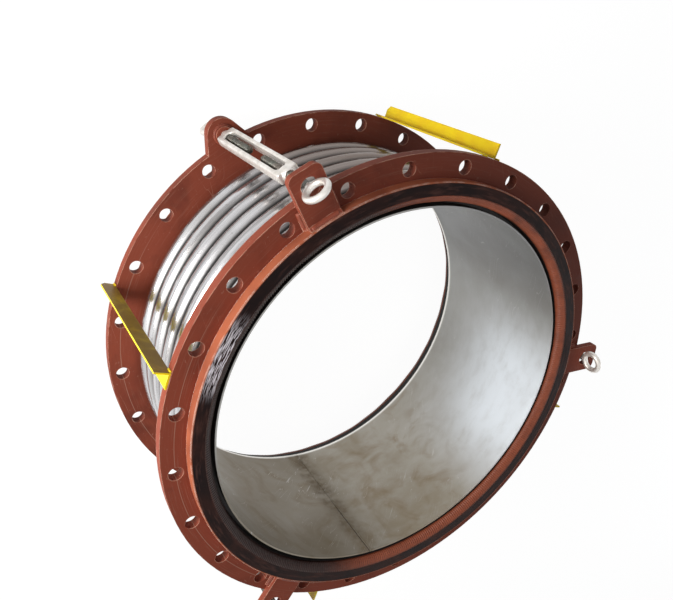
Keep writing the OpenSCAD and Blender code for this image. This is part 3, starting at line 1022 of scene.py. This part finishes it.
# %% Runs on the lugs
FILLET = 7.0 * MM
SIDE_SEAT = 0.42 * FILLET
TOE_SEAT = 0.45 * FILLET
SIDE_STEPS = 50
TOE_STEPS = 70
TOE_SHORT_DEG = 0.5
LUG_RUN = {"width": 9.5 * MM, "pitch": 2.6 * MM}
lug_runs = []
for angle in LUG_DEG:
    for sign in (-1, 1):
        x = sign * (LUG_W / 2 + SIDE_SEAT)
        ys = spaced(COLLAR_R + 4.0 * MM, FLANGE_R - 13.0 * MM, SIDE_STEPS)
        path = [spot(angle, x, y, PLATE_FRONT + SIDE_SEAT) for y in ys]
        leans = [leaning(angle, sign, 0, 1)] * SIDE_STEPS
        lug_runs.append(weld_run(path, leans, height=3.0 * MM, **LUG_RUN))
    half_deg = math.degrees(math.asin(LUG_W / 2 / COLLAR_R)) - TOE_SHORT_DEG
    turns = spaced(angle - half_deg, angle + half_deg, TOE_STEPS)
    path = [spot(turn, 0, COLLAR_R + TOE_SEAT, PLATE_FRONT + LUG_T + TOE_SEAT) for turn in turns]
    leans = [leaning(turn, 0, 1, 1) for turn in turns]
    lug_runs.append(weld_run(path, leans, height=2.8 * MM, **LUG_RUN))
points, faces = join_runs(lug_runs)
mesh_piece("lug_weld_runs", points, faces, painted_weld_mat, "joint_frame")
print("lug welds:", len(faces), "faces")

# %% Rings of weld at the bushes
BUSH_R = 19.0 * MM
RING_SEAT = 2.2 * MM
RING_STEPS = 84
bush_runs = []
for angle in LUG_DEG:
    for ear_z, sign in ((0.0, -1), (PLATE_T, 1)):
        path, leans = [], []
        for k in range(RING_STEPS):
            turn = 2 * math.pi * k / RING_STEPS
            x, y = math.cos(turn), math.sin(turn)
            r = BUSH_R + RING_SEAT
            path.append(spot(angle, x * r, ROD_CIRCLE_R + y * r, ear_z + sign * RING_SEAT))
            leans.append(leaning(angle, x, y, sign))
        bush_runs.append(weld_run(path, leans, 6.2 * MM, 1.9 * MM, 2.1 * MM, closed=True))
points, faces = join_runs(bush_runs)
mesh_piece("bush_weld_rings", points, faces, painted_weld_mat, "joint_frame")
print("bush welds:", len(faces), "faces")

# %% Tacks that hold the shipping bars
BAR_EDGES = ((-18.0 * MM, -1), (16.0 * MM, 1))
TACK_INSET = 3.0 * MM
TACK_STEPS = 30
TACK_LEAN = 0.9
tack_runs = []
for angle in BAR_DEG:
    for edge, sign in BAR_EDGES:
        for rim_z in (0.0, PLATE_FRONT - PLATE_T):
            zs = spaced(rim_z + TACK_INSET, rim_z + PLATE_T - TACK_INSET, TACK_STEPS)
            path = [spot(angle, edge, FLANGE_R + 0.6 * MM, z) for z in zs]
            leans = [leaning(angle, sign, TACK_LEAN, 0)] * TACK_STEPS
            tack_runs.append(weld_run(path, leans, 5.6 * MM, 2.4 * MM, 2.4 * MM))
points, faces = join_runs(tack_runs)
mesh_piece("shipping_bar_tacks", points, faces, yellow_mat, "joint_frame")
print("tacks:", len(faces), "faces")

# %% The liner's seam
SEAM_STEPS = 420
SEAM_INSET = 2.0 * MM
SEAM_SWAY = 0.3 * MM
SEAM_WAVES = 55
zs = spaced(LINER_REAR + SEAM_INSET, LINER_FRONT - SEAM_INSET, SEAM_STEPS)
path = [spot(SEAM_DEG, SEAM_SWAY * math.sin(SEAM_WAVES * z), LINER_R - 0.1 * MM, z) for z in zs]
leans = [leaning(SEAM_DEG, 0, -1, 0)] * SEAM_STEPS
points, faces = weld_run(path, leans, 4.6 * MM, 0.9 * MM, 3.0 * MM, ripple=0.3)
mesh_piece("liner_seam_bead", points, faces, liner_mat, "joint_frame")
print("seam:", len(faces), "faces")

# %% [markdown]
# ### Turnbuckle bodies
#
# These are drop forgings, and a die leaves no sharp edge. The hard part is wrapped in a fine
# skin of small squares, the skin is relaxed until its edges melt, and the bore is then set back
# to its true size so that the rod still fits.

# %% A helper that melts edges


def melted(points, faces, cell, passes):
    """Wraps a closed shape in a fine skin and relaxes it. Returns new points and faces."""
    rough = bpy.data.meshes.new("rough")
    rough.from_pydata(points, [], faces)
    holder = add_object("rough", rough)
    skin = holder.modifiers.new("skin", "REMESH")
    skin.mode = "VOXEL"
    skin.voxel_size = cell
    relax = holder.modifiers.new("relax", "SMOOTH")
    relax.factor = 0.5
    relax.iterations = passes
    bpy.context.view_layer.update()
    graph = bpy.context.evaluated_depsgraph_get()
    result = bpy.data.meshes.new_from_object(holder.evaluated_get(graph))
    new_points = [tuple(v.co) for v in result.vertices]
    new_faces = [tuple(p.vertices) for p in result.polygons]
    bpy.data.objects.remove(holder)
    bpy.data.meshes.remove(rough)
    bpy.data.meshes.remove(result)
    return new_points, new_faces


print("melting helper ready")

# %% Forged bodies
BORE_R = 8.05 * MM
BORE_REACH = 0.7 * MM
hard = NODES["turnbuckle_body_1"].data
body_low, body_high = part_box("turnbuckle_body_1")
hard_points = [(v.co.x, v.co.y - ROD_CIRCLE_R, v.co.z) for v in hard.vertices]
hard_faces = [tuple(p.vertices) for p in hard.polygons]
soft_points, soft_faces = melted(hard_points, hard_faces, cell=1.5 * MM, passes=7)
body_points = []
for x, y, z in soft_points:
    away = math.hypot(x, y)
    if 0 < away < BORE_R + BORE_REACH:
        x, y = x * BORE_R / away, y * BORE_R / away
    body_points.append((x, y, min(max(z, body_low.z), body_high.z)))
for i, angle in zip(THREE, LUG_DEG):
    points = [spot(angle, x, ROD_CIRCLE_R + y, z) for x, y, z in body_points]
    name = "turnbuckle_%d_forging" % i
    forging = mesh_piece(name, points, soft_faces, zinc_mat, "turnbuckle_%d" % i)
    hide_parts("turnbuckle_body_%d" % i)
print("forged bodies:", len(soft_faces), "faces each")

# %% [markdown]
# ### Eye bolts
#
# Each eye bolt is a bent and forged ring on a threaded rod. The front rods have left-hand
# threads and the rear ones right-hand threads, so turning the body between them moves both at
# once, out or in. The thread is a strip that climbs one pitch per turn, and the ring is melted
# into its neck. One bolt is made at the origin, its ring at the top, and then set at each place.

# %% Ring, neck, shank and thread
EYE_R = 22.25 * MM
EYE_WIRE = 6.75 * MM
EYE_LONG = 221.0 * MM
PITCH = 2.0 * MM
SHANK_R = 8.0 * MM
MAJOR_R = 7.95 * MM
MINOR_R = 6.9 * MM
THREAD_TOP = -56.0 * MM
GREASE_FROM = -27.0 * MM
TIP_R = 6.88 * MM
NECK_PROFILE_MM = ((7.6, -24.0), (8.6, -29.0), (8.2, -34.0), (8.0, -42.0))
THREAD_SHAPE = (0.0, 0.35, 0.85, 1.0, 0.85, 0.35)
THREAD_COLUMNS = 20
RUN_OUT = 3.0 * MM
RING_ROWS = 56
RING_COLUMNS = 20


def lathe(columns, profile):
    """A closed turned shape around the z axis from (radius, z) pairs, the top one first."""
    points = []
    for r, z in profile:
        for j in range(columns):
            a = 2 * math.pi * j / columns
            points.append((r * math.cos(a), r * math.sin(a), z))
    return points, tube_faces(len(profile), columns)


def ring_shape():
    """The eye itself: a torus standing in the xz plane."""
    points = []
    for i in range(RING_ROWS):
        a = 2 * math.pi * i / RING_ROWS
        for j in range(RING_COLUMNS):
            b = 2 * math.pi * j / RING_COLUMNS
            r = EYE_R + EYE_WIRE * math.cos(b)
            points.append((r * math.cos(a), EYE_WIRE * math.sin(b), r * math.sin(a)))
    return points, grid_faces(RING_ROWS, RING_COLUMNS)


def thread_strip():
    """Points and faces of a left-hand thread. It fades out at the rod's end."""
    columns, per_pitch = THREAD_COLUMNS, len(THREAD_SHAPE)
    bottom = -EYE_LONG + 1.5 * MM
    rows = int((THREAD_TOP - bottom) / PITCH + 2) * per_pitch
    points, loose = [], []
    for i in range(rows):
        for j in range(columns):
            a = 2 * math.pi * j / columns
            z = THREAD_TOP + RUN_OUT - PITCH * (i / per_pitch + j / columns)
            fade = min(1.0, max(0.0, (z - bottom) / RUN_OUT))
            r = MINOR_R + (MAJOR_R - MINOR_R) * THREAD_SHAPE[i % per_pitch] * fade
            loose.append(z < bottom)
            points.append((r * math.cos(a), r * math.sin(a), max(z, bottom)))
    faces = []
    for i in range(rows - per_pitch - 1):
        for j in range(columns):
            a, d = i * columns + j, (i + 1) * columns + j
            b = a + 1 if j < columns - 1 else (i + per_pitch) * columns
            c = d + 1 if j < columns - 1 else (i + 1 + per_pitch) * columns
            if not (loose[a] and loose[b] and loose[c] and loose[d]):
                faces.append((d, c, b, a))
    return points, faces


neck = lathe(28, [(r * MM, z * MM) for r, z in NECK_PROFILE_MM])
head = melted(*join_runs([ring_shape(), neck]), cell=1.1 * MM, passes=6)
shank_end = [(SHANK_R, THREAD_TOP - 0.4 * MM), (7.3 * MM, THREAD_TOP - 1.4 * MM)]
shank = lathe(40, [(SHANK_R, -40.0 * MM), *shank_end])
tip_end = [(TIP_R, -EYE_LONG + 1.2 * MM), (5.6 * MM, -EYE_LONG)]
tip = lathe(28, [(TIP_R, -EYE_LONG + 4.0 * MM), *tip_end])
bolt_points, bolt_faces = join_runs([head, shank, thread_strip(), tip])
print("one eye bolt:", len(bolt_faces), "faces")

# %% Six eye bolts


def eye_bolt(name, node, angle_deg, outward, turn_deg, body):
    """A rear bolt is the front one mirrored, which makes its thread a right-hand one."""
    low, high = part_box(node)
    eye_outer = EYE_R + EYE_WIRE
    centre_z = high.z - eye_outer if outward > 0 else low.z + eye_outer
    turn = math.radians(turn_deg)
    placed = []
    for x, y, z in bolt_points:
        across = x * math.cos(turn) - y * math.sin(turn)
        out = x * math.sin(turn) + y * math.cos(turn)
        placed.append(spot(angle_deg, across, ROD_CIRCLE_R + out, centre_z + outward * z))
    faces = bolt_faces if outward > 0 else flipped(bolt_faces)
    greasy = [k for k, face in enumerate(faces) if bolt_points[face[0]][2] < GREASE_FROM]
    piece = mesh_piece(name, placed, faces, zinc_mat, body, greasy)
    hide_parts(node)


FRONT_EYE_TURN_DEG = 12.0
ENDS = (("front", 1, FRONT_EYE_TURN_DEG), ("rear", -1, 0.0))
for i, angle in zip(THREE, LUG_DEG):
    for end, outward, turn_deg in ENDS:
        node, body = "%s_eye_bolt_%d" % (end, i), "%s_eye_%d" % (end, i)
        eye_bolt(body + "_forged", node, angle, outward, turn_deg, body)
print("eye bolts made: 6")

# %% Sizes and the end
print("hard parts:", cad_box)
